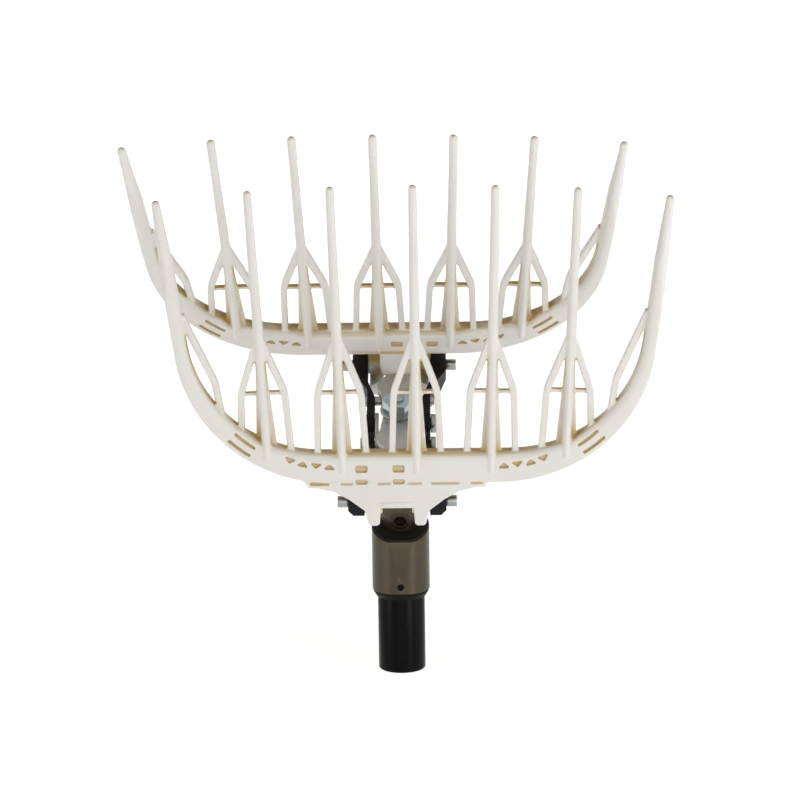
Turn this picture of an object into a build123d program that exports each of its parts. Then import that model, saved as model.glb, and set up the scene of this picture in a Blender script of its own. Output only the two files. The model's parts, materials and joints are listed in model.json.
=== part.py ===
from build123d import *
from math import atan2, cos, degrees, radians, sin, sqrt, tan
import os

# Olive harvester head: two combs clap on a pneumatic cylinder that leans forward from the pole.
# Millimetres. The pole axis is +Z, the origin is the centre of the tube just above its chamfered end,
# -Y is the front.

# Pole tube and body
tube_od = 30.0
tube_bore = 23.0
tube_shown = 51.0
tube_edge = 1.0
tube_step_od = 28.6
socket_depth = 11.0
collar_height = 3.6
collar_lip = 0.8
collar_inset = 0.5
body_od = 36.7
body_front_height = 34.0
body_edge = 1.2
facet_length = 26.5
facet_width = 16.0
set_screw_od = 4.4
set_screw_height = 5.8
set_screw_share = 0.63
set_screw_socket = 2.5

# Air nipple in the tube
nipple_flange_od = 14.0
nipple_flange = 4.0
nipple_stem_od = 7.6
nipple_stem = 16.0
nipple_barb_od = 9.4
nipple_barbs = 3
nipple_bore = 4.0
nipple_thread_od = 9.0
nipple_thread = 7.0
passage_od = 5.0

# Lean of the head and the stack along its axis
head_tilt = 24.0
neck_offset = 5.5
neck_od = 28.0
seal_plate = 1.2
seal_inset = 0.6
block_height = 19.8
barrel_length = 40.0
cap_flange = 4.0
pivot_rise = 2.0
cylinder_bore = 21.0
spigot_depth = 5.0
block_spigot_od = 16.0
block_spigot = 9.0
cap_spigot = 6.0
o_ring = 1.8

# Valve
spool_od = 9.0
spool_rise = 7.3
spool_half = 6.6
spool_travel = 2.6
spool_end_gap = 0.4
plug_od = 12.6
plug_length = 4.0
plug_socket = 7.0
plug_socket_depth = 2.6
spool_ring_places = (-4.4, 0.0, 4.4)
running_gap = 0.05
spool_gap = 0.02

# Piston, rod and yoke
piston_height = 8.0
piston_rest = 13.0
rod_od = 10.0
rod_thread_od = 8.0
rod_tail_od = 7.0
rod_end = 2.0
piston_nut_af = 11.0
piston_nut_height = 4.0
bush_wall = 1.6
rod_nut_af = 17.0
rod_nut_height = 8.0
rod_nut_crown = 9.5
rod_nut_bevel = (1.0, 2.0)
washer_od = 22.0
washer_thickness = 1.5
yoke_level = 18.8
yoke_plate = 5.0
yoke_end_radius = 13.0
yoke_end_place = 27.3
yoke_half_width = 11.0
yoke_ear_outer = 8.2
yoke_ear_end = 39.5
yoke_flange = 3.2
yoke_flange_start = 26.0
yoke_drop = 8.5
yoke_waist = 8.6
slot_gap = 0.35
slot_run = 1.2

# Side plates and pivots
cheek_inner = 12.5
cheek_thickness = 2.0
cheek_half_width = 9.0
cheek_boss = 7.0
cheek_screw_od = 3.0
cheek_screw_head_od = 5.6
cheek_screw_head = 1.4
cheek_screw_depth = 4.5
cheek_screw_spread = 5.0
pivot_half_span = 12.0
pivot_od = 8.0
pivot_thread_od = 6.0
pivot_head_od = 12.0
pivot_head = 3.4
pivot_socket = 5.0
pivot_socket_depth = 2.3
arm_bush_wall = 1.5

# Arms
arm_gap = 0.5
arm_thickness = 5.0
arm_boss = 9.0
arm_half_height = 6.0
arm_inner_bend = (29.0, 47.0)
arm_outer_bend = (36.8, 58.0)
lug_width = 10.0
lug_half_height = 5.6
lug_corner = 3.2
drive_radius = 21.0
drive_od = 6.0
drive_boss = 6.6
drive_end = 1.6
ring_thickness = 1.0
ring_width = 1.6
swing_open = 20.0
swing_close = 6.0

# Combs
comb_stand = 70.5
comb_rise = 16.0
comb_lean = 12.9
rail_depth = 14.0
rail_wall = 2.6
rail_roof = 4.4
rail_round = 5.5
rail_edge = 1.4
rail_low = 2.7
rail_low_flat = 50.0
rail_low_radius = 94.5
rail_height = 19.2
rail_side_width = 7.5
rail_bow_step = 14.5
rail_sweep = 83.0
channel_sweep = 56.0
horn_top = 184.2
horn_taper_start = 92.0
horn_taper_width = 6.5
horn_taper_depth = 11.0
horn_tip_radius = 2.6
horn_leg = ((-5.0, 14.3), (-24.0, -29.7), (-27.2, -51.2))
tooth_pitch = 44.8
tooth_tip_pitch = 48.8
tooth_reach = 2
tooth_top = 192.4
tooth_top_fall = 0.65
spine_half_width = 3.4
spine_tip_radius = 2.6
spine_foot_depth = 8.6
spine_foot_rise = 7.3
spine_root_rise = 5.0
spine_depths = ((0.0, 8.0), (0.26, 5.7), (0.47, 4.3), (0.72, 3.3))
fin_half_width = 6.3
fin_top_half_width = 1.6
fin_thickness = 3.0
leg_width = 3.9
leg_depth = 5.0
leg_top = 98.0
leg_knee = 60.5
leg_spread = 13.2
leg_foot_spread = 14.7
leg_bend = 30.0
leg_sink = 4.5
rung_height = 2.2
rung_depth = 3.0

# Fork below each comb
pad_proud = 0.6
pad_thickness = 3.5
pad_reach = 54.0
pad_edge = ((57.0, 5.0), (54.0, 1.6), (38.0, -2.6), (28.8, -8.0), (19.6, -15.4), (19.0, -17.0))
pad_overlap = 4.0
prong_tip_outer = 17.3
prong_tip_inner = 10.8
prong_inner = 10.0
prong_tip = -25.3
prong_depth = 24.0
prong_round = 2.2
window_top = -13.2
lip_height = 3.4
lip_proud = 0.9
boss_inner = 9.0
boss_half_depth = 5.4
bridge_half_width = 12.0
bridge_back = 10.5
comb_screw_back = 1.8
comb_screw_drop = 12.9
comb_screw_od = 5.0
comb_screw_gap = 0.2
comb_screw_head_od = 7.2
comb_screw_head = 6.4
comb_screw_socket = 4.0
comb_screw_tip = 12.0
insert_od = 7.0
vent_width = 7.0
vent_places = (-33.5, -11.0)
vent_level = 12.5
vent_height = 4.5
pocket_level = 4.0
pocket_height = 2.8
pocket_depth = 1.8
dash_level = 2.9
dash_height = 1.6
dashes = ((-46.9, 11.8), (-30.3, 8.0), (-7.7, 8.5), (10.7, 9.5), (29.2, 17.6), (48.5, 8.0))
lattice_start = 2.0
lattice_step = 5.6
lattice_count = 4
lattice_level = 11.3
lattice_size = 7.8
lattice_height = 3.6
slot_levels = (3.6, 9.4)
slot_angles = (34.0, 44.5)
slot_width = 1.7
# Arcs whose radii are this close belong to one rounded edge.
radius_match = 0.01

# Derived places
body_radius = body_od / 2
tube_top = tube_shown + socket_depth
collar_low = tube_shown - collar_height
shoulder_front = tube_shown + body_front_height
neck_foot_z = shoulder_front + (body_radius + neck_offset) * tan(radians(head_tilt))
shoulder_drop = seal_plate + block_height + barrel_length + cap_flange + pivot_rise
head_y = neck_offset - shoulder_drop * sin(radians(head_tilt))
head_z = neck_foot_z + shoulder_drop * cos(radians(head_tilt))
block_bottom = -shoulder_drop + seal_plate
block_top = block_bottom + block_height
barrel_top = block_top + barrel_length
cap_top = barrel_top + cap_flange
spool_level = block_bottom + spool_rise
arm_inner = cheek_inner + cheek_thickness + arm_gap
arm_outer = arm_inner + arm_thickness
lug_outer = arm_outer + lug_width
drive_lift = (swing_open - swing_close) / 2
drive_y = pivot_half_span + drive_radius * cos(radians(drive_lift))
drive_z = drive_radius * sin(radians(drive_lift))
comb_offset = tooth_tip_pitch / 4
rail_high = rail_low + rail_height
rail_high_radius = rail_low_radius - rail_bow_step
rail_high_flat = rail_low_flat + rail_bow_step - rail_side_width
bow_side = (rail_low_flat + rail_low_radius, rail_low + rail_low_radius)
lean = radians(comb_lean)
lug_level = comb_rise - comb_screw_drop * cos(lean) - comb_screw_back * sin(lean)
pad_front = -rail_depth / 2 - pad_proud


def in_head(shape):
    return Pos(0, head_y, head_z) * Rot(head_tilt, 0, 0) * shape


def turned(shape):
    return Rot(0, 0, 180) * shape


def in_comb(shape):
    return Pos(0, -comb_stand, comb_rise) * Rot(-comb_lean, 0, 0) * shape


def save(name, *solids):
    shape = solids[0] if len(solids) == 1 else Compound(children=list(solids))
    export_step(shape, "parts/" + name + ".step")


def upright(radius, low, high, y=0.0):
    return Pos(0, y, (low + high) / 2) * Cylinder(radius, high - low)


def sideways(radius, start, end, y=0.0, z=0.0):
    return Pos((start + end) / 2, y, z) * Rot(0, 90, 0) * Cylinder(radius, end - start)


def along_screw(radius, start, end):
    # About the axis of the comb screws, in the comb's own frame.
    return sideways(radius, start, end, comb_screw_back, -comb_screw_drop)


def lengthways(radius, start, end, z=0.0):
    return Pos(0, (start + end) / 2, z) * Rot(90, 0, 0) * Cylinder(radius, end - start)


def block(x, y, z):
    place = Pos((x[0] + x[1]) / 2, (y[0] + y[1]) / 2, (z[0] + z[1]) / 2)
    return place * Box(abs(x[1] - x[0]), abs(y[1] - y[0]), abs(z[1] - z[0]))


def hexagon(across_flats, low, high):
    return Pos(0, 0, low) * extrude(RegularPolygon(across_flats / 2, 6, major_radius=False), high - low)


def side_hex(across_flats, start, end, y=0.0, z=0.0):
    return Pos(start, y, z) * Rot(0, 90, 0) * hexagon(across_flats, 0, end - start)


def outline(points):
    return make_face(Polyline(*points, close=True))


def side_profile(points, start, end):
    # Points are (y, z), drawn from one side and given their width along X.
    return Pos(start, 0, 0) * extrude(Plane.YZ * outline(points), end - start)


def front_profile(sketch, near, far):
    # A sketch in (x, height), given its depth from near to far along Y.
    return Pos(0, far, 0) * extrude(Plane.XZ * sketch, far - near)


def both_sides(shape):
    return [shape, mirror(shape, Plane.YZ)]


# Pole tube, its ring and the air nipple
def pole_tube():
    tube = upright(tube_od / 2, -tube_edge, collar_low)
    tube = chamfer(tube.edges().sort_by(Axis.Z)[0], tube_edge)
    tube += upright(tube_step_od / 2, collar_low, tube_top)
    return tube - upright(tube_bore / 2, -tube_edge, tube_top)


def tube_ring():
    top_radius = body_radius - collar_inset
    low_radius = tube_od / 2 + collar_lip
    cone = Pos(0, 0, tube_shown - collar_height / 2) * Cone(low_radius, top_radius, collar_height)
    return cone - upright(tube_step_od / 2, collar_low, tube_shown)


def air_nipple():
    flange_low = tube_top - nipple_flange
    stem_low = flange_low - nipple_stem
    shape = hexagon(nipple_flange_od * cos(radians(30)), flange_low, tube_top)
    shape += upright(nipple_stem_od / 2, stem_low, flange_low)
    shape += upright(nipple_thread_od / 2, tube_top, tube_top + nipple_thread)
    barb = nipple_stem / (nipple_barbs + 1)
    for index in range(nipple_barbs):
        centre = stem_low + barb * (index + 0.5)
        shape += Pos(0, 0, centre) * Cone(nipple_stem_od / 2, nipple_barb_od / 2, barb)
    return shape - upright(nipple_bore / 2, stem_low, tube_top + nipple_thread)


# Body, seal and valve block
def above_shoulder(lift=0.0):
    size = 4 * body_od
    return in_head(Pos(0, 0, -shoulder_drop + lift + size / 2) * Box(size, size, size))


def body_facet():
    # A long round of the front that narrows downwards from its full width at the shoulder to a point.
    bend = body_radius * (2 * facet_length / facet_width) ** 2
    apex = shoulder_front - facet_length
    kept = sideways(bend, -body_od, body_od, -body_radius + bend, apex)
    return block((-body_od, body_od), (-body_od, 0), (apex, apex + 2 * body_od)) - kept


def pole_body():
    shape = upright(body_radius, tube_shown, neck_foot_z + body_od)
    shape = chamfer(shape.edges().sort_by(Axis.Z)[0], body_edge)
    shape -= above_shoulder()
    shape -= body_facet()
    shape -= upright(tube_step_od / 2, tube_shown, tube_top)
    shape -= upright(nipple_thread_od / 2, tube_top, tube_top + nipple_thread)
    shape -= in_head(upright(block_spigot_od / 2, -shoulder_drop - block_spigot, -shoulder_drop))
    pocket_y = neck_offset + block_spigot * sin(radians(head_tilt))
    passage_top = neck_foot_z - block_spigot * cos(radians(head_tilt))
    rise = passage_top - tube_top
    slant = degrees(atan2(pocket_y, rise))
    length = sqrt(pocket_y**2 + rise**2)
    passage = Pos(0, 0, length / 2) * Cylinder(passage_od / 2, length)
    shape -= Pos(0, 0, tube_top) * Rot(-slant, 0, 0) * passage
    return shape - lengthways(set_screw_od / 2, -body_radius, 0, tube_shown + set_screw_height)


def set_screw():
    # The screw fills the inner share of the body's wall, from the tube outwards.
    level = tube_shown + set_screw_height
    outer = -tube_step_od / 2 - set_screw_share * (body_radius - tube_step_od / 2)
    shape = lengthways(set_screw_od / 2, outer, 0, level)
    socket = Pos(0, outer, level) * Rot(-90, 0, 0) * hexagon(set_screw_socket, 0, set_screw_socket / 2)
    return shape - socket - upright(tube_step_od / 2, tube_shown, tube_top)


def shoulder_seal():
    disc = upright(body_radius - seal_inset, tube_shown, neck_foot_z + body_od)
    disc = (disc & above_shoulder()) - above_shoulder(seal_plate) - body_facet()
    return disc - in_head(upright(block_spigot_od / 2, -shoulder_drop, -shoulder_drop + seal_plate))


def flats(low, high):
    far = 2 * neck_od
    cut = block((cheek_inner, far), (-far, far), (low, high))
    return cut + mirror(cut, Plane.YZ)


def valve_block():
    shape = upright(neck_od / 2, block_bottom, block_top)
    shape += upright(block_spigot_od / 2, block_bottom - seal_plate - block_spigot, block_bottom)
    shape += upright(cylinder_bore / 2, block_top, block_top + spigot_depth)
    ring_low = block_top + (spigot_depth - o_ring) / 2
    shape -= ring(cylinder_bore / 2, o_ring, ring_low, o_ring)
    shape -= flats(block_top - 2 * cheek_screw_spread, block_top)
    shape -= lengthways(spool_od / 2, -neck_od, neck_od, spool_level)
    for side in (-1, 1):
        outer = side * neck_od
        inner = side * plug_inner()
        shape -= lengthways(plug_od / 2, min(outer, inner), max(outer, inner), spool_level)
    shape -= upright(passage_od / 2, block_bottom - seal_plate - block_spigot, block_top + spigot_depth)
    return shape - cheek_screws()


def plug_inner():
    return spool_half + spool_travel + spool_end_gap


def ring(outer_radius, width, low, height):
    return upright(outer_radius, low, low + height) - upright(outer_radius - width, low, low + height)


def valve_plug(side):
    inner = plug_inner()
    shape = lengthways(plug_od / 2, inner, inner + plug_length)
    socket = Pos(0, inner + plug_length, 0) * Rot(90, 0, 0) * hexagon(plug_socket, 0, plug_socket_depth)
    return Pos(0, 0, spool_level) * Rot(0, 0, 0 if side > 0 else 180) * (shape - socket)


def spool_ring(place):
    half = o_ring / 2
    tube = lengthways(spool_od / 2 - spool_gap, place - half, place + half, spool_level)
    return tube - lengthways(spool_od / 2 - o_ring, place - half, place + half, spool_level)


def valve_spool():
    shape = lengthways(spool_od / 2 - spool_gap, -spool_half, spool_half, spool_level)
    for place in spool_ring_places:
        shape -= spool_ring(place)
    return shape


# Cylinder, piston and rod
def cylinder_barrel():
    shape = upright(neck_od / 2, block_top, barrel_top)
    return shape - upright(cylinder_bore / 2, block_top, barrel_top) - flats(block_top, barrel_top)


def barrel_seal():
    return ring(cylinder_bore / 2, o_ring, block_top + (spigot_depth - o_ring) / 2, o_ring)


def bush_radius():
    return rod_od / 2 + bush_wall


def seal_low():
    return barrel_top - cap_spigot


def cylinder_head():
    shape = upright(neck_od / 2, barrel_top, cap_top)
    shape += upright(cylinder_bore / 2, seal_low(), barrel_top)
    shape -= flats(barrel_top, cap_top)
    shape -= upright(bush_radius(), seal_low(), cap_top)
    return shape - cheek_screws()


def rod_hole():
    return upright(rod_od / 2 + running_gap, seal_low(), cap_top)


def rod_seal():
    return upright(bush_radius(), seal_low(), seal_low() + o_ring) - rod_hole()


def rod_bush():
    return upright(bush_radius(), seal_low() + o_ring, cap_top) - rod_hole()


def piston_low():
    return barrel_top - piston_rest - piston_height


def piston_top():
    return piston_low() + piston_height


def piston_groove():
    low = piston_low() + (piston_height - o_ring) / 2
    return ring(cylinder_bore / 2 - running_gap, o_ring, low, o_ring)


def piston():
    shape = upright(cylinder_bore / 2 - running_gap, piston_low(), piston_top())
    return shape - piston_groove() - upright(rod_tail_od / 2, piston_low(), piston_top())


def piston_nut():
    low = piston_low() - piston_nut_height
    return hexagon(piston_nut_af, low, piston_low()) - upright(rod_tail_od / 2, low, piston_low())


def rod_top():
    return yoke_level + washer_thickness + rod_nut_height + rod_end


def piston_rod():
    shape = upright(rod_od / 2, piston_top(), yoke_level - yoke_plate)
    shape += upright(rod_tail_od / 2, piston_low() - piston_nut_height, piston_top())
    shape += upright(rod_thread_od / 2, yoke_level - yoke_plate, rod_top())
    return chamfer(shape.edges().sort_by(Axis.Z)[-1], rod_thread_od / 10)


def yoke():
    waist = yoke_flange_start - drive_boss
    plan = outline([
        (-yoke_half_width, yoke_end_place), (yoke_half_width, yoke_end_place), (yoke_half_width, waist),
        (yoke_waist, 0), (yoke_half_width, -waist), (yoke_half_width, -yoke_end_place),
        (-yoke_half_width, -yoke_end_place), (-yoke_half_width, -waist), (-yoke_waist, 0),
        (-yoke_half_width, waist),
    ])
    low = yoke_level - yoke_plate
    shape = Pos(0, 0, low) * extrude(plan, yoke_plate)
    for end in (-1, 1):
        shape += upright(yoke_end_radius, low, yoke_level, end * yoke_end_place)
        ear = block((yoke_ear_outer - yoke_flange, yoke_ear_outer),
                    (end * yoke_flange_start, end * yoke_ear_end), (drive_z - yoke_drop, yoke_level))
        shape += ear + mirror(ear, Plane.YZ)
        slot = SlotCenterToCenter(2 * slot_run, drive_od + 2 * slot_gap)
        cut = extrude(Plane.YZ * slot, 2 * yoke_half_width, both=True)
        shape -= Pos(0, end * drive_y, drive_z) * cut
    shape -= upright(rod_thread_od / 2, low, yoke_level)
    return shape


def washer():
    top = yoke_level + washer_thickness
    return upright(washer_od / 2, yoke_level, top) - upright(rod_thread_od / 2, yoke_level, top)


def rod_nut():
    low = yoke_level + washer_thickness
    shape = hexagon(rod_nut_af, low, low + rod_nut_height)
    crown = Pos(0, 0, low + rod_nut_height / 2) * Cylinder(rod_nut_crown, rod_nut_height)
    crown = chamfer(crown.edges().group_by(Axis.Z)[-1], *rod_nut_bevel)
    return (shape & crown) - upright(rod_thread_od / 2, low, low + rod_nut_height)


# Side plates and the pivots of the arms
def cheek_screw_places():
    for level in (block_top - cheek_screw_spread, cap_top - cap_flange / 2):
        for side in (-1, 1):
            yield side * cheek_screw_spread, level


def cheek_screw(y, z, side):
    inner = cheek_inner - cheek_screw_depth
    outer = cheek_inner + cheek_thickness
    shape = sideways(cheek_screw_od / 2, inner, outer, y, z)
    shape += sideways(cheek_screw_head_od / 2, outer - cheek_screw_head, outer, y, z)
    return shape if side > 0 else mirror(shape, Plane.YZ)


def cheek_screws():
    return [cheek_screw(y, z, side) for y, z in cheek_screw_places() for side in (-1, 1)]


def cheek():
    low = block_top - 2 * cheek_screw_spread
    half = cheek_half_width
    span = pivot_half_span
    plate = side_profile(
        [(-half, low), (half, low), (half, cap_top - cap_flange), (span + cheek_boss, 0),
         (-span - cheek_boss, 0), (-half, cap_top - cap_flange)],
        cheek_inner, cheek_inner + cheek_thickness)
    for side in (-1, 1):
        plate += sideways(cheek_boss, cheek_inner, cheek_inner + cheek_thickness, side * span)
    plate += block((cheek_inner, cheek_inner + cheek_thickness), (-span, span), (0, cheek_boss))
    for side in (-1, 1):
        plate -= sideways(pivot_thread_od / 2, cheek_inner, cheek_inner + cheek_thickness, side * span)
    return plate - cheek_screws()


def pivot_bolt(y):
    shoulder = arm_outer + arm_gap / 2
    shape = sideways(pivot_thread_od / 2, cheek_inner, cheek_inner + cheek_thickness, y)
    shape += sideways(pivot_od / 2, cheek_inner + cheek_thickness, shoulder, y)
    top = shoulder + pivot_head
    shape += sideways(pivot_head_od / 2, shoulder, top, y)
    return shape - side_hex(pivot_socket, top - pivot_socket_depth, top, y)


# Arms of the front comb; the back ones are the same parts turned half round
def arm_bush():
    shape = sideways(pivot_od / 2 + arm_bush_wall, arm_inner, arm_outer, -pivot_half_span)
    return shape - sideways(pivot_od / 2 + running_gap, arm_inner, arm_outer, -pivot_half_span)


def arm():
    span = pivot_half_span
    far = comb_stand + rail_depth
    plan = outline([
        (arm_inner, 0), (arm_inner, -arm_inner_bend[0]), (arm_outer, -arm_inner_bend[1]), (arm_outer, -far),
        (lug_outer, -far), (lug_outer, -arm_outer_bend[1]), (arm_outer, -arm_outer_bend[0]), (arm_outer, 0),
    ])
    solid = Pos(0, 0, -far) * extrude(plan, 2 * far)
    half = arm_half_height
    lug = -arm_outer_bend[1]
    side = side_profile([
        (-span, half), (-drive_y, drive_z + drive_boss), (lug, lug_level + lug_half_height),
        (-far, lug_level + lug_half_height), (-far, lug_level - lug_half_height),
        (lug, lug_level - lug_half_height), (-drive_y, drive_z - drive_boss), (-span, -half),
    ], 0, lug_outer)
    side += sideways(arm_boss, 0, lug_outer, -span)
    side += sideways(drive_boss, 0, lug_outer, -drive_y, drive_z)
    shape = solid & side
    corner = Pos(lug_outer, 0, lug_level - lug_half_height) * Rot(0, 45, 0)
    shape -= corner * Box(lug_corner * sqrt(2), 2 * far, lug_corner * sqrt(2))
    behind_pad = pad_front + pad_thickness
    shape -= in_comb(block((-far, far), (-far, behind_pad), (-far, far)))
    shape -= sideways(pivot_od / 2 + arm_bush_wall, 0, lug_outer, -span)
    shape -= sideways(drive_od / 2, 0, lug_outer, -drive_y, drive_z)
    return shape - in_comb(along_screw(comb_screw_od / 2 + comb_screw_gap, 0, 2 * lug_outer))


def drive_pin():
    reach = arm_outer + ring_thickness + drive_end
    shape = sideways(drive_od / 2, -reach, reach, -drive_y, drive_z)
    for groove in both_sides(drive_ring_body(drive_od / 2)):
        shape -= groove
    return shape


def drive_ring_body(radius):
    top = arm_outer + ring_thickness
    outer = sideways(radius, arm_outer, top, -drive_y, drive_z)
    return outer - sideways(drive_od / 2 - ring_width / 2, arm_outer, top, -drive_y, drive_z)


def drive_ring():
    return drive_ring_body(drive_od / 2 + ring_width / 2)


# Combs
def low_edge(x):
    run = max(abs(x) - rail_low_flat, 0.0)
    return rail_low + rail_low_radius - sqrt(rail_low_radius**2 - run**2)


def high_edge(x):
    run = max(abs(x) - rail_high_flat, 0.0)
    return rail_high + rail_high_radius - sqrt(rail_high_radius**2 - run**2)


def bow_end(flat, level, radius, sweep):
    turn = radians(sweep)
    return flat + radius * sin(turn), level + radius - radius * cos(turn)


def along_horn(point, height):
    return point[0] + (height - point[1]) / tan(radians(rail_sweep)), height


def half_bow(low, low_radius, high, high_radius, sweep, horned):
    low_point = bow_end(rail_low_flat, low, low_radius, sweep)
    high_point = bow_end(rail_high_flat, high, high_radius, sweep)
    low_tip = along_horn(low_point, horn_top) if horned else low_point
    high_tip = along_horn(high_point, horn_top) if horned else high_point
    edges = [
        Line((0, low), (rail_low_flat, low)),
        CenterArc((rail_low_flat, low + low_radius), low_radius, -90, sweep),
        CenterArc((rail_high_flat, high + high_radius), high_radius, -90, sweep),
        Line((rail_high_flat, high), (0, high)),
        Line((0, high), (0, low)),
        Line(low_tip, high_tip),
    ]
    if horned:
        edges += [Line(low_point, low_tip), Line(high_point, high_tip)]
    return make_face(edges)


def whole_bow(*sizes):
    half = half_bow(*sizes)
    return half + mirror(half, Plane.YZ)


def rounded(shape, curve_radius, amount):
    # Rounds the curved edges of one radius, and all that runs on from them.
    arcs = shape.edges().filter_by(GeomType.CIRCLE)
    return fillet(arcs.filter_by(lambda arc: abs(arc.radius - curve_radius) < radius_match), amount)


def horn_centre(height):
    low_point = bow_end(rail_low_flat, rail_low, rail_low_radius, rail_sweep)
    high_point = bow_end(rail_high_flat, rail_high, rail_high_radius, rail_sweep)
    return (along_horn(low_point, height)[0] + along_horn(high_point, height)[0]) / 2


def horn_limit():
    # Room for the rail below, and a slender round cone for each horn above.
    far = 2 * horn_top
    tip = horn_top - horn_tip_radius
    start = Pos(horn_centre(horn_taper_start), 0, horn_taper_start)
    end = Pos(horn_centre(tip), 0, tip)
    wide = start * Ellipse(horn_taper_width, horn_taper_depth)
    cone = loft([wide, end * Circle(horn_tip_radius)], ruled=True)
    cone += end * Sphere(horn_tip_radius)
    room = block((-far, far), (-far, far), (-far, horn_taper_start))
    for part in both_sides(cone):
        room += part
    return room


def rail():
    half = rail_depth / 2
    bow = whole_bow(rail_low, rail_low_radius, rail_high, rail_high_radius, rail_sweep, True)
    shape = front_profile(bow, -half, half)
    shape = rounded(shape, rail_high_radius, rail_round)
    shape = rounded(shape, rail_low_radius, rail_edge)
    shape &= horn_limit()
    channel = whole_bow(rail_low - rail_wall, rail_low_radius, rail_high - rail_roof,
                        rail_high_radius + rail_roof, channel_sweep, False)
    shape -= front_profile(channel, -half + rail_wall, half - rail_wall)
    for x_sign in (-1, 1):
        for index in range(lattice_count):
            shape -= lattice(x_sign, index)
        shape -= long_slots(x_sign)
    return shape


def in_walls(sketch):
    # A sketch cut into the front and the back wall of the rail, as shallow pockets.
    floor = rail_depth / 2 - pocket_depth
    return front_profile(sketch, -rail_depth, -floor) + front_profile(sketch, floor, rail_depth)


def lattice(x_sign, index):
    # One of a row of triangular pockets in the walls of the rail, by turns point up and point down.
    angle = lattice_start + index * lattice_step
    radius = rail_low_radius - lattice_level
    x = rail_low_flat + radius * sin(radians(angle))
    level = rail_low + rail_low_radius - radius * cos(radians(angle))
    wing = lattice_size / 2
    rise = lattice_height / 2 if index % 2 else -lattice_height / 2
    sketch = Pos(x, level) * Rot(0, 0, angle) * outline([(-wing, rise), (wing, rise), (0, -rise)])
    cut = in_walls(sketch)
    return cut if x_sign > 0 else mirror(cut, Plane.YZ)


def long_slots(x_sign):
    cuts = None
    for level in slot_levels:
        radius = rail_low_radius - level
        start, end = slot_angles
        path = CenterArc((rail_low_flat, rail_low + rail_low_radius), radius, -90 + start, end - start)
        cut = in_walls(trace(path, slot_width))
        cuts = cut if cuts is None else cuts + cut
    return cuts if x_sign > 0 else mirror(cuts, Plane.YZ)


def section(height, half_width, half_depth):
    return Pos(0, 0, height) * Ellipse(half_width, half_depth)


def spine(x, top):
    foot = low_edge(x) + spine_foot_rise
    root = high_edge(x) + spine_root_rise
    tip = top - spine_tip_radius
    sections = [section(foot, spine_half_width, spine_foot_depth)]
    for part, depth in spine_depths:
        width = spine_half_width + part * (spine_tip_radius - spine_half_width)
        sections.append(section(root + part * (tip - root), width, depth))
    sections.append(section(tip, spine_tip_radius, spine_tip_radius))
    return loft(sections, ruled=True) + Pos(0, 0, tip) * Sphere(spine_tip_radius)


def leg(points):
    bar = trace(FilletPolyline(*points, radius=leg_bend), leg_width)
    return front_profile(bar, -leg_depth / 2, leg_depth / 2)


def tooth(index):
    x = index * tooth_pitch
    top = tooth_top - tooth_top_fall * index**2
    splay = degrees(atan2(index * (tooth_tip_pitch - tooth_pitch), tooth_top))
    shape = spine(x, top)
    root = high_edge(x) - leg_sink
    fin = outline([(-fin_half_width, root), (fin_half_width, root), (fin_top_half_width, leg_top),
                   (-fin_top_half_width, leg_top)])
    shape += front_profile(fin, -fin_thickness / 2, fin_thickness / 2)
    for side in (-1, 1):
        foot = high_edge(x + side * leg_foot_spread) - leg_sink
        shape += leg([(0, leg_top), (side * leg_spread, leg_knee), (side * leg_foot_spread, foot)])
    shape += block((-leg_spread, leg_spread), (-rung_depth / 2, rung_depth / 2),
                   (leg_knee - rung_height / 2, leg_knee + rung_height / 2))
    return Pos(x, 0, 0) * Rot(0, splay, 0) * shape


def fork():
    ends = [(prong_tip_outer, prong_tip), (prong_tip_inner, prong_tip), (prong_inner, window_top)]
    right = list(pad_edge) + ends
    left = [(-x, z) for x, z in reversed(right)]
    top = dash_level + dash_height / 2
    sketch = outline(right + left + [(-pad_reach, top), (pad_reach, top)])
    sketch = fillet(sketch.vertices().group_by(Axis.Y)[0], prong_round)
    plate = front_profile(sketch, pad_front, pad_front + pad_thickness)
    plate += block((-pad_reach, pad_reach), (-rail_depth / 2, pad_front + pad_thickness),
                   (0, rail_low + pad_overlap))
    plate += block((-prong_inner, prong_inner), (pad_front - lip_proud, pad_front),
                   (window_top, window_top + lip_height))
    prong = outline([pad_edge[-1]] + ends + [(prong_inner, window_top + lip_height)])
    prong = fillet(prong.vertices().group_by(Axis.Y)[0], prong_round)
    side = front_profile(prong, pad_front, pad_front + prong_depth)
    side += block((boss_inner, arm_outer), (pad_front + pad_thickness, comb_screw_back),
                  (-comb_screw_drop - boss_half_depth, -comb_screw_drop + boss_half_depth))
    side += along_screw(boss_half_depth, boss_inner, arm_outer)
    plate += block((-bridge_half_width, bridge_half_width), (pad_front + prong_round, bridge_back),
                   (window_top, rail_low + pad_overlap))
    for part in both_sides(side):
        plate += part
    for hole in both_sides(along_screw(insert_od / 2, boss_inner, arm_outer)):
        plate -= hole
    for middle, length in dashes:
        plate -= block((middle - length / 2, middle + length / 2), (pad_front, pad_front + pocket_depth),
                       (dash_level - dash_height / 2, dash_level + dash_height / 2))
    return plate


def vents():
    # Square pockets in both walls of the rail, and a lower one in the pad in front of each.
    cuts = []
    for place in vent_places:
        high = Pos(comb_offset + place, vent_level) * Rectangle(vent_width, vent_height)
        low = Pos(comb_offset + place, pocket_level) * Rectangle(vent_width, pocket_height)
        cuts.append(in_walls(high))
        cuts.append(front_profile(low, -rail_depth, pad_front + pocket_depth))
    return cuts


def comb():
    shape = rail()
    for index in range(-tooth_reach, tooth_reach + 1):
        shape += tooth(index)
    branch = leg([(bow_side[0] + x, bow_side[1] + z) for x, z in horn_leg])
    for part in both_sides(branch):
        shape += part
    shape = Pos(comb_offset, 0, 0) * shape
    shape += fork()
    return shape - vents()


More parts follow.
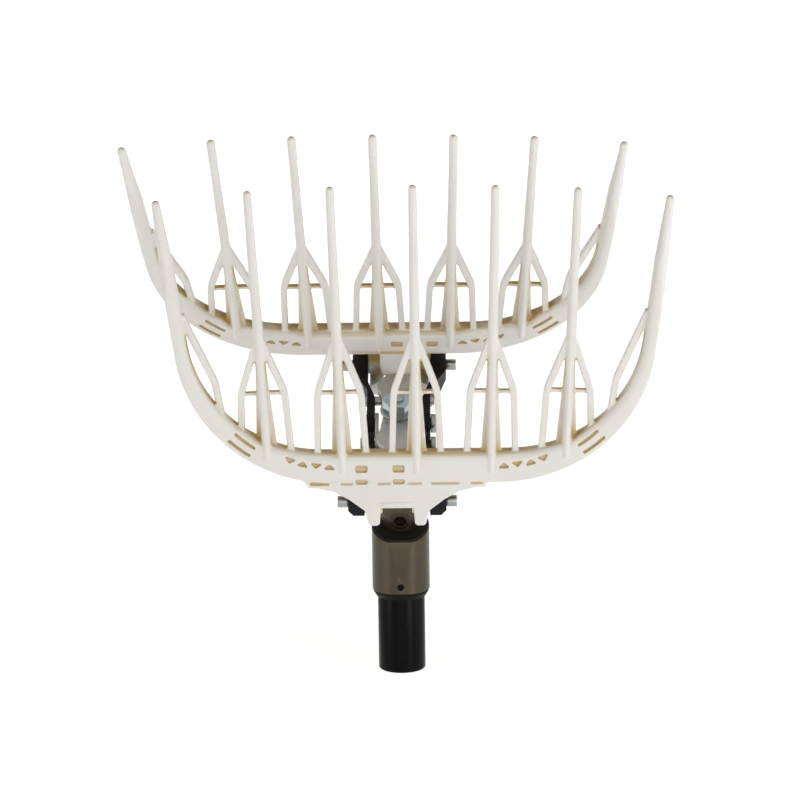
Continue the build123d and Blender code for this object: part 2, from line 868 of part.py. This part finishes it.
def comb_screw():
    top = lug_outer + comb_screw_head
    shape = along_screw(comb_screw_od / 2, comb_screw_tip, lug_outer)
    shape += along_screw(comb_screw_head_od / 2, lug_outer, top)
    socket = side_hex(comb_screw_socket, top - comb_screw_head / 2, top, comb_screw_back, -comb_screw_drop)
    return shape - socket


def comb_insert():
    shape = along_screw(insert_od / 2, boss_inner, arm_outer)
    return shape - along_screw(comb_screw_od / 2, boss_inner, arm_outer)


os.makedirs("parts", exist_ok=True)

save("pole_tube", pole_tube())
save("tube_ring", tube_ring())
save("air_nipple", air_nipple())
save("pole_body", pole_body())
save("set_screw", set_screw())
save("shoulder_seal", shoulder_seal())
save("valve_block", in_head(valve_block()))
save("valve_front_plug", in_head(valve_plug(-1)))
save("valve_rear_plug", in_head(valve_plug(1)))
save("valve_spool", in_head(valve_spool()))
save("spool_seals", *[in_head(spool_ring(place)) for place in spool_ring_places])
save("cylinder_barrel", in_head(cylinder_barrel()))
save("barrel_seal", in_head(barrel_seal()))
save("cylinder_head", in_head(cylinder_head()))
save("rod_bush", in_head(rod_bush()))
save("rod_seal", in_head(rod_seal()))
save("piston", in_head(piston()))
save("piston_seal", in_head(piston_groove()))
save("piston_nut", in_head(piston_nut()))
save("piston_rod", in_head(piston_rod()))
save("yoke", in_head(yoke()))
save("yoke_washer", in_head(washer()))
save("rod_nut", in_head(rod_nut()))
save("right_side_plate", in_head(cheek()))
save("left_side_plate", in_head(mirror(cheek(), Plane.YZ)))
save("side_plate_screws", *[in_head(screw) for screw in cheek_screws()])
for name, place in (("front", -pivot_half_span), ("back", pivot_half_span)):
    save(name + "_pivot_bolts", *[in_head(bolt) for bolt in both_sides(pivot_bolt(place))])

for name, turn in (("front", lambda shape: shape), ("back", turned)):
    right, left = both_sides(arm())
    if name == "back":
        right, left = left, right
    save(name + "_right_arm", in_head(turn(right)))
    save(name + "_left_arm", in_head(turn(left)))
    save(name + "_arm_bushes", *[in_head(turn(part)) for part in both_sides(arm_bush())])
    save(name + "_drive_pin", in_head(turn(drive_pin())))
    save(name + "_drive_rings", *[in_head(turn(part)) for part in both_sides(drive_ring())])
    save(name + "_comb", in_head(turn(in_comb(comb()))))
    save(name + "_comb_screws", *[in_head(turn(in_comb(part))) for part in both_sides(comb_screw())])
    save(name + "_comb_inserts", *[in_head(turn(in_comb(part))) for part in both_sides(comb_insert())])

print("head centre", round(head_y, 2), round(head_z, 2), "drive pin", round(drive_y, 2), round(drive_z, 2))
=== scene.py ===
"""The looks of an olive harvester head: two moulded combs on a linkage above a bronze body and a pole tube."""

import json
import math

import bmesh
import bpy
from mathutils import Matrix, Vector
from mathutils.bvhtree import BVHTree


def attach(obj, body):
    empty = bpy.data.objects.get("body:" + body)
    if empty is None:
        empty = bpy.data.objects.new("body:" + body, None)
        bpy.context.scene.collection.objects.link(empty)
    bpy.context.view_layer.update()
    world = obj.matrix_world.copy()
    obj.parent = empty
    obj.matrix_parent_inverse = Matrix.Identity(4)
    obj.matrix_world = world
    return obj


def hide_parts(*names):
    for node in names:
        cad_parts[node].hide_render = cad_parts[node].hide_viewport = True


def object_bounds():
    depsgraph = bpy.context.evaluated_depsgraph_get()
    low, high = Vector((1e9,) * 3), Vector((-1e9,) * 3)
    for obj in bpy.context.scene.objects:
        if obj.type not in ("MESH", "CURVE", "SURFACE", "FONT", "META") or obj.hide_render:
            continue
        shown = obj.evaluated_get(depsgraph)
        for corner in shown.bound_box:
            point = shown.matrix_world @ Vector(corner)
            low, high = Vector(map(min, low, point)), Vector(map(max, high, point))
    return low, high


MM = 0.001

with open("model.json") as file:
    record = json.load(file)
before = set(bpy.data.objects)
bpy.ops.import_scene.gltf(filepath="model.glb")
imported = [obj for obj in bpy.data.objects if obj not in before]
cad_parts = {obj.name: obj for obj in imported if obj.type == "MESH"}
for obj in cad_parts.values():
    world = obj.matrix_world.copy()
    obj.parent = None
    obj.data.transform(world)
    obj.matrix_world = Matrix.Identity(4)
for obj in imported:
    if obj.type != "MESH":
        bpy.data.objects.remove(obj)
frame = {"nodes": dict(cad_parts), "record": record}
cad_low, cad_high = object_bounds()
nodes = frame["nodes"]
scene = bpy.context.scene
bodies = frame["record"]["behaviour"]["bodies"]
body_of_node = {node: body for body, members in bodies.items() for node in members}
slot_of_node = {row["node"]: row["material_slot"] for row in frame["record"]["subparts"]}

# The head's own frame: its foot, and its tilt forward of the pole.
HEAD_TILT = math.radians(24.0)
HEAD_FOOT = Vector((0, -21.7513, 156.826)) * MM
HEAD = Matrix.Translation(HEAD_FOOT) @ Matrix.Rotation(HEAD_TILT, 4, "X")
HALF_TURN = HEAD @ Matrix.Rotation(math.pi, 4, "Z") @ HEAD.inverted()
FRONT_COMB_LEAN = math.radians(11.1)


# ---------------------------------------------------------------- finishes

# The colour sockets of a Mix node.
MIX_SHARE, MIX_FIRST, MIX_SECOND, MIX_RESULT = 0, 6, 7, 2


class Wire:
    """A socket in a node tree that takes part in sums."""

    def __init__(self, tree, socket):
        self.tree = tree
        self.socket = socket

    def _sum(self, operation, other):
        return self.tree.node("ShaderNodeMath", {"operation": operation}, {0: self, 1: other})

    def __add__(self, other):
        return self._sum("ADD", other)

    def __sub__(self, other):
        return self._sum("SUBTRACT", other)

    def __mul__(self, other):
        return self._sum("MULTIPLY", other)

    def __or__(self, other):
        return self._sum("MAXIMUM", other)


class NodeTree:
    """A node tree, with one way to make nodes in it and one to feed the nodes it came with."""

    def __init__(self, owner):
        owner.use_nodes = True
        self.owner = owner
        self.tree = owner.node_tree

    def lead(self, value, socket):
        if isinstance(value, Wire):
            self.tree.links.new(value.socket, socket)
        else:
            socket.default_value = value

    def node(self, kind, settings=None, inputs=None, output=0):
        made = self.tree.nodes.new(kind)
        for key, value in (settings or {}).items():
            setattr(made, key, value)
        for key, value in (inputs or {}).items():
            self.lead(value, made.inputs[key])
        return Wire(self, made.outputs[output])

    def feed(self, node, **inputs):
        for key, value in inputs.items():
            self.lead(value, self.tree.nodes[node].inputs[key.replace("_", " ")])

    def span(self, wire, low, high, start=0.3, end=0.7):
        """A value from start to end brought to low to high, and held at the ends."""
        return self.node("ShaderNodeMapRange", {"clamp": True},
                         {"Value": wire, "From Min": start, "From Max": end, "To Min": low, "To Max": high})

    def share(self, wire, start=0.3, end=0.7):
        return self.span(wire, 0.0, 1.0, start, end)

    def mix(self, share, first, second):
        return self.node("ShaderNodeMix", {"data_type": "RGBA"},
                         {MIX_SHARE: share, MIX_FIRST: first, MIX_SECOND: second}, output=MIX_RESULT)

    def height(self, vector):
        return self.node("ShaderNodeSeparateXYZ", None, {0: vector}, output="Z")

    def seen(self):
        """1 for rays that come from the camera, a mirror or glass."""
        kinds = ("Is Camera Ray", "Is Glossy Ray", "Is Transmission Ray")
        eye, mirror, glass = [self.node("ShaderNodeLightPath", output=kind) for kind in kinds]
        return eye | mirror | glass


ALL_WAYS = (1, 1, 1)
# Stretches a grain into rings about the pole, as a lathe leaves them.
TURNED = (0.05, 0.05, 2.2)
GRAIN_ROUGH = 0.55


class Finish(NodeTree):
    """A material with one Principled shader, and the nodes that feed it."""

    def __init__(self, name, **constants):
        super().__init__(bpy.data.materials.new(name))
        self.surface(**constants)

    def surface(self, **inputs):
        self.feed("Principled BSDF", **inputs)
        return self.owner

    def place(self, stretch=ALL_WAYS):
        """Where a point is on the part, in millimetres, stretched along the axes."""
        spot = self.node("ShaderNodeTexCoord", output="Object")
        return self.node("ShaderNodeVectorMath", {"operation": "MULTIPLY"},
                         {0: spot, 1: [s / MM for s in stretch]})

    def noise(self, grain_mm, detail=3.0, stretch=ALL_WAYS):
        return self.node("ShaderNodeTexNoise", {"noise_dimensions": "3D"},
                         {"Vector": self.place(stretch), "Scale": 1 / grain_mm, "Detail": detail,
                          "Roughness": GRAIN_ROUGH})

    def cloud(self, grain_mm, tint, shade, detail=3.0):
        """Two colours in soft patches."""
        return self.mix(self.share(self.noise(grain_mm, detail)), srgb(*tint), srgb(*shade))

    def bump(self, height, depth_mm, strength=0.4):
        return self.node("ShaderNodeBump", None,
                         {"Height": height, "Distance": depth_mm * MM, "Strength": strength})

    def carried(self, name):
        """A value that the mesh carries."""
        return self.node("ShaderNodeAttribute", {"attribute_name": name}, output="Fac")

    def edges(self, start=0.49, end=0.56):
        """Where wear shows: 1 on outer edges, 0 on plain faces and in corners."""
        return self.share(self.node("ShaderNodeNewGeometry", output="Pointiness"), start, end)

    def facing_up_shade(self, start=0.55, end=0.97):
        """Painted shade where surfaces look up: 1 on surfaces that look up, 0 on upright ones and below."""
        return self.share(self.height(self.node("ShaderNodeTexCoord", output="Normal")), start, end)


def srgb(red, green, blue):
    """A colour as the eye's 0 to 255 numbers, brought to light."""
    def light(c):
        c = c / 255
        return c / 12.92 if c <= 0.04045 else ((c + 0.055) / 1.055) ** 2.4
    return (light(red), light(green), light(blue), 1.0)


# Painted shade in the comb's hollows.
HOLLOW_SHADE_TAN = srgb(203, 180, 122)
# Painted shade on surfaces that look up, and its greatest share.
UP_FACING_SHADE_TAN = srgb(198, 174, 118)
UP_FACING_SHADE_SHARE = 0.6
WORN_BRONZE = srgb(128, 117, 99)
WORN_BRONZE_SHARE = 0.3
WORN_BLACK = srgb(58, 58, 62)
WORN_BLACK_SHARE = 0.2
QUARTER_TURN = 0.25


def ivory_nylon():
    f = Finish("ivory_nylon", IOR=1.5, Specular_IOR_Level=0.3, Subsurface_Weight=0.25,
               Subsurface_Radius=(1.0, 0.8, 0.5), Subsurface_Scale=2.2 * MM)
    # Painted shade: hollows turn tan, the deepest less so because they also darken each other.
    hollow_shade = f.carried("hollow_shade")
    tan = f.share(hollow_shade, 0.08, 0.38) * f.span(hollow_shade, 1.0, 0.35, 0.45, 0.8)
    skin = f.cloud(34, (244, 243, 240), (240, 239, 235), detail=2.0)
    skin = f.mix(tan, skin, HOLLOW_SHADE_TAN)
    # Painted shade: surfaces that look up turn tan.
    skin = f.mix(f.facing_up_shade() * UP_FACING_SHADE_SHARE, skin, UP_FACING_SHADE_TAN)
    grain = f.noise(0.55, detail=2.0)
    return f.surface(Base_Color=skin, Roughness=f.span(grain, 0.38, 0.5), Normal=f.bump(grain, 0.02))


def bronze_metal(name, tint, shade):
    f = Finish(name, Metallic=0.9, Anisotropic=0.3, Anisotropic_Rotation=QUARTER_TURN)
    skin = f.mix(f.edges() * WORN_BRONZE_SHARE, f.cloud(9, tint, shade), WORN_BRONZE)
    turned = f.noise(0.5, detail=2.0, stretch=TURNED)
    return f.surface(Base_Color=skin, Roughness=f.span(turned, 0.34, 0.42), Normal=f.bump(turned, 0.01))


def black_coat(name, tint, gloss, shine, streak=ALL_WAYS, drawn=0.0):
    f = Finish(name, Specular_IOR_Level=shine, Anisotropic=drawn, Anisotropic_Rotation=QUARTER_TURN)
    skin = f.cloud(7, tint, [c + 3 for c in tint])
    skin = f.mix(f.edges(0.51, 0.57) * WORN_BLACK_SHARE, skin, WORN_BLACK)
    grain = f.noise(0.7, stretch=streak)
    return f.surface(Base_Color=skin, Roughness=f.span(grain, gloss, gloss + 0.08),
                     Normal=f.bump(grain, 0.01))


def bare_metal(name, tint, gloss):
    f = Finish(name, Metallic=1.0)
    skin = f.cloud(11, tint, [int(c * 0.92) for c in tint])
    grain = f.noise(0.6)
    return f.surface(Base_Color=skin, Roughness=f.span(grain, gloss, gloss + 0.1),
                     Normal=f.bump(grain, 0.01))


# A rubber seal on the body's sloping shoulder; its dark brown is partly the rubber's own and partly painted
# shade of the shoulder.
def seal_rubber_painted_shade():
    f = Finish("seal_rubber_painted_shade", Specular_IOR_Level=0.15)
    skin = f.cloud(0.8, (21, 18, 13), (30, 26, 19))
    grain = f.noise(0.8)
    return f.surface(Base_Color=skin, Roughness=f.span(grain, 0.55, 0.7),
                     Normal=f.bump(grain, 0.02, strength=0.6))


finishes = {
    "ivory_nylon": ivory_nylon(),
    "bronze": bronze_metal("bronze_metal", (63, 56, 46), (55, 49, 41)),
    "black_arm": black_coat("black_arm_coat", (18, 17, 23), 0.38, 0.12),
    "black_tube": black_coat("black_tube_coat", (2, 2, 3), 0.25, 0.06, TURNED, drawn=0.95),
    "black_plastic": black_coat("black_plastic_skin", (14, 13, 13), 0.42, 0.1),
    "steel": bare_metal("turned_steel", (174, 173, 170), 0.28),
    "zinc": bare_metal("zinc_plate", (160, 162, 159), 0.24),
    "chrome": bare_metal("chrome_plate", (172, 184, 190), 0.1),
    "grey_metal": bare_metal("satin_grey", (150, 151, 153), 0.38),
    "brass": bare_metal("brass_metal", (188, 158, 96), 0.28),
    "seal": seal_rubber_painted_shade(),
}
# Nodes that look different from the rest of their slot.
own_finish = {
    "set_screw": black_coat("blackened_steel", (8, 8, 8), 0.4, 0.1),
    "valve_front_plug": bronze_metal("dark_bronze", (34, 26, 19), (27, 20, 15)),
}


# ---------------------------------------------------------------- pieces


def link(name, mesh):
    piece = bpy.data.objects.new(name, mesh)
    scene.collection.objects.link(piece)
    return piece


def coat(piece, node):
    """Gives a piece the finish and slot of a node."""
    slot = slot_of_node[node]
    piece.data.materials.clear()
    piece.data.materials.append(own_finish.get(node, finishes[slot]))


def dress(piece, node):
    """Gives a piece the finish, slot and body of the node that it stands for."""
    coat(piece, node)
    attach(piece, body_of_node[node])
    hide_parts(node)


def settled(piece):
    """The piece's mesh with its modifiers worked in."""
    bpy.context.view_layer.update()
    graph = bpy.context.evaluated_depsgraph_get()
    mesh = bpy.data.meshes.new_from_object(piece.evaluated_get(graph))
    old = piece.data
    piece.modifiers.clear()
    piece.data = mesh
    bpy.data.meshes.remove(old)
    return mesh


def smooth_faces(mesh):
    mesh.polygons.foreach_set("use_smooth", [True] * len(mesh.polygons))


WELD_REACH = 0.002 * MM


def welded(mesh):
    work = bmesh.new()
    work.from_mesh(mesh)
    bmesh.ops.remove_doubles(work, verts=work.verts, dist=WELD_REACH)
    bmesh.ops.dissolve_degenerate(work, edges=work.edges, dist=WELD_REACH)
    work.to_mesh(mesh)
    work.free()


FLAT = math.radians(0.6)
SHARP = math.radians(30)
# The facet on the body's front meets the round at small angles, and still shows an edge.
BODY_CREASE = math.radians(9)


def eased(node, width_mm, crease):
    """A node's solid with its sharp edges eased by a small round, and shaded evenly between its creases."""
    mesh = nodes[node].data.copy()
    piece = link(f"{node}_eased", mesh)
    welded(mesh)
    work = bmesh.new()
    work.from_mesh(mesh)
    bmesh.ops.dissolve_limit(work, angle_limit=FLAT, verts=work.verts, edges=work.edges)
    sharp = [e for e in work.edges if len(e.link_faces) == 2 and e.calc_face_angle(0) > SHARP]
    bmesh.ops.bevel(work, geom=sharp, offset=width_mm * MM, offset_type="OFFSET", segments=2, profile=0.5,
                    affect="EDGES", clamp_overlap=True, material=-1)
    bmesh.ops.triangulate(work, faces=[p for p in work.faces if len(p.verts) > 4])
    work.to_mesh(mesh)
    work.free()
    smooth_faces(mesh)
    mesh.set_sharp_from_angle(angle=crease)
    dress(piece, node)


COMB_VOXEL = 0.45 * MM
COMB_SMOOTHING = 4
COMB_FACES = 84000


def moulded(node):
    """A comb's solid as a moulding: every edge rounded, and the surface even."""
    upright = Matrix.Rotation(-FRONT_COMB_LEAN, 4, "X")
    mesh = nodes[node].data.copy()
    piece = link("comb_blank", mesh)
    welded(mesh)
    mesh.transform(upright)
    remesh = piece.modifiers.new("even", "REMESH")
    remesh.mode = "VOXEL"
    remesh.voxel_size = COMB_VOXEL
    smooth = piece.modifiers.new("rounds", "SMOOTH")
    smooth.factor = 0.5
    smooth.iterations = COMB_SMOOTHING
    mesh = settled(piece)
    # The voxels leave four-sided faces, and thinning leaves triangles.
    thin = piece.modifiers.new("thin", "DECIMATE")
    thin.ratio = min(1.0, COMB_FACES / (2 * len(mesh.polygons)))
    mesh = settled(piece)
    mesh.transform(upright.inverted())
    smooth_faces(mesh)
    bpy.data.objects.remove(piece)
    return mesh


HOLLOW_RAYS = 18
HOLLOW_REACH = 16.0 * MM
HOLLOW_LIFT = 0.25 * MM
# What a hit at the rays' full reach counts less than one close by.
HOLLOW_FADE = 0.5


def fan_of_rays(count):
    """Directions spread evenly over the half sphere about +Z, closer towards its top."""
    golden = math.pi * (3 - math.sqrt(5))
    rays = []
    for k in range(count):
        out = math.sqrt((k + 0.5) / count)
        turn = k * golden
        rays.append(Vector((out * math.cos(turn), out * math.sin(turn), math.sqrt(1 - out * out))))
    return rays


def mark_hollow_shade(mesh):
    """Keeps on each vertex how far the mesh itself closes it in, from 0, open, to 1, the measure for the
    painted shade in hollows.
    """
    work = bmesh.new()
    work.from_mesh(mesh)
    tree = BVHTree.FromBMesh(work)
    rays = fan_of_rays(HOLLOW_RAYS)
    values = []
    for vertex in work.verts:
        turn = vertex.normal.to_track_quat("Z", "Y").to_matrix()
        start = vertex.co + vertex.normal * HOLLOW_LIFT
        met = 0.0
        for ray in rays:
            distance = tree.ray_cast(start, turn @ ray, HOLLOW_REACH)[3]
            if distance is not None:
                met += 1 - HOLLOW_FADE * distance / HOLLOW_REACH
        values.append(met / len(rays))
    work.free()
    mesh.attributes.new("hollow_shade", "FLOAT", "POINT").data.foreach_set("value", values)


# The back comb is the front comb's moulding, turned half round.
front_mesh = moulded("front_comb")
# Painted shade for the hollows, worked out on the front comb and copied with it.
mark_hollow_shade(front_mesh)
back_mesh = front_mesh.copy()
back_mesh.transform(HALF_TURN)
dress(link("front_comb_moulding", front_mesh), "front_comb")
dress(link("back_comb_moulding", back_mesh), "back_comb")

EASED_MM = {
    "valve_block": 0.4,
    "valve_front_plug": 0.3,
    "tube_ring": 0.3,
    "pole_tube": 0.3,
    "yoke": 0.5,
    "yoke_washer": 0.25,
    "cylinder_barrel": 0.4,
    "cylinder_head": 0.4,
    "right_side_plate": 0.4,
    "left_side_plate": 0.4,
    "pole_body": 0.5,
    "front_right_arm": 0.5,
    "front_left_arm": 0.5,
    "front_comb_screws": 0.25,
    "front_pivot_bolts": 0.25,
    "back_right_arm": 0.5,
    "back_left_arm": 0.5,
    "back_comb_screws": 0.25,
    "back_pivot_bolts": 0.25,
}
for node, width in EASED_MM.items():
    eased(node, width, crease=BODY_CREASE if node == "pole_body" else SHARP)

for node, shape in nodes.items():
    if not shape.hide_render:
        coat(shape, node)


# ---------------------------------------------------------------- floor, light and camera

BLACK, WHITE = (0, 0, 0, 1), (1, 1, 1, 1)
FLOOR_HALF = 9.0
FLOOR_GAP = 0.3 * MM
FLOOR_GREY = (0.5, 0.5, 0.5, 1)
# What the floor shows to the eye about the part and away from it, and what it sheds on the part.
NEAR_GLOW, FAR_GLOW = 0.9, 1.0
NEAR_MM, FAR_MM = 100, 700
BOUNCE_GLOW = 0.42


def stage_floor():
    """A pale floor that is white to the eye, a little less so about the part, where its shadow falls."""
    work = bmesh.new()
    bmesh.ops.create_grid(work, x_segments=8, y_segments=8, size=FLOOR_HALF)
    mesh = bpy.data.meshes.new("floor")
    work.to_mesh(mesh)
    work.free()
    floor = link("floor", mesh)
    floor.location.z = cad_low[2] - FLOOR_GAP
    pale = Finish("pale_floor", Base_Color=FLOOR_GREY, Roughness=0.9, Specular_IOR_Level=0.0,
                  Emission_Strength=1.0)
    away = pale.node("ShaderNodeVectorMath", {"operation": "LENGTH"}, {0: pale.place()}, output="Value")
    glow = pale.span(away, NEAR_GLOW, FAR_GLOW, NEAR_MM, FAR_MM)
    glow = pale.seen() * (glow - BOUNCE_GLOW) + BOUNCE_GLOW
    pale.surface(Emission_Color=pale.mix(glow, BLACK, WHITE))
    mesh.materials.append(pale.owner)


SIDE_LIGHT = (0.62, 0.62, 0.62, 1)
TOP_LIGHT = (0.15, 0.105, 0.04, 1)
HIGH_VIEW = (0.75, 0.74, 0.72, 1)


def studio_world():
    """White for the eye; for light, pale from the sides and a dim warm brown from above."""
    scene.world = bpy.data.worlds.new("studio")
    room = NodeTree(scene.world)
    level = room.height(room.node("ShaderNodeTexCoord", output="Generated"))
    light = room.mix(room.share(level, 0.02, 0.32), SIDE_LIGHT, TOP_LIGHT)
    view = room.mix(room.share(level, 0.3, 0.8), WHITE, HIGH_VIEW)
    room.feed("Background", Color=room.mix(room.seen(), light, view), Strength=1.0)


LAMP_AIM = Vector((0, -0.05, 0.2))
LAMP_TINT = (0.96, 0.98, 1.0)


def softbox(name, place, size, power):
    lamp = bpy.data.lights.new(name, "AREA")
    lamp.shape = "RECTANGLE"
    lamp.size, lamp.size_y = size
    lamp.energy = power
    lamp.color = LAMP_TINT
    light = bpy.data.objects.new(name, lamp)
    light.location = place
    light.rotation_euler = (LAMP_AIM - Vector(place)).to_track_quat("-Z", "Y").to_euler()
    scene.collection.objects.link(light)


stage_floor()
studio_world()
softbox("right_box", (1.24, -1.38, 0.24), (0.8, 0.9), 15)
softbox("far_right_box", (1.8, -0.2, 0.3), (0.9, 0.9), 5)
softbox("left_box", (-1.7, -0.9, 0.25), (0.9, 0.9), 10)
softbox("back_box", (-0.3, 2.3, 0.3), (1.4, 0.9), 12)
softbox("front_box", (0.1, -2.4, 0.25), (1.6, 0.5), 3.5)

# The camera as fitted to the photograph: its place about a point on the pole's axis, its roll and its lens.
EYE_POINT = Vector((0, 0, 0.1756))
EYE_DISTANCE = 2.2
EYE_AZIMUTH = math.radians(1.06)
EYE_ELEVATION = math.radians(12.0)
EYE_ROLL = math.radians(0.8)
PICTURE_WIDE = 800
FOCAL_PIXELS = 3475.0
POINT_PIXEL = (398.6, 398.6)
SENSOR = 36.0

lens = bpy.data.cameras.new("camera")
lens.sensor_width = SENSOR
lens.lens = SENSOR * FOCAL_PIXELS / PICTURE_WIDE
lens.shift_x = (PICTURE_WIDE / 2 - POINT_PIXEL[0]) / PICTURE_WIDE
lens.shift_y = (POINT_PIXEL[1] - PICTURE_WIDE / 2) / PICTURE_WIDE
lens.clip_start, lens.clip_end = 0.05, 60.0
camera = bpy.data.objects.new("camera", lens)
scene.collection.objects.link(camera)
level_out = Vector((math.sin(EYE_AZIMUTH), -math.cos(EYE_AZIMUTH), 0))
out = level_out * math.cos(EYE_ELEVATION) + Vector((0, 0, math.sin(EYE_ELEVATION)))
right = Vector((math.cos(EYE_AZIMUTH), math.sin(EYE_AZIMUTH), 0))
up = out.cross(right)
rolled_right = right * math.cos(EYE_ROLL) - up * math.sin(EYE_ROLL)
rolled_up = up * math.cos(EYE_ROLL) + right * math.sin(EYE_ROLL)
turn = Matrix((rolled_right, rolled_up, out)).transposed()
camera.matrix_world = Matrix.Translation(EYE_POINT + out * EYE_DISTANCE) @ turn.to_4x4()
scene.camera = camera
scene.view_settings.view_transform = "Standard"
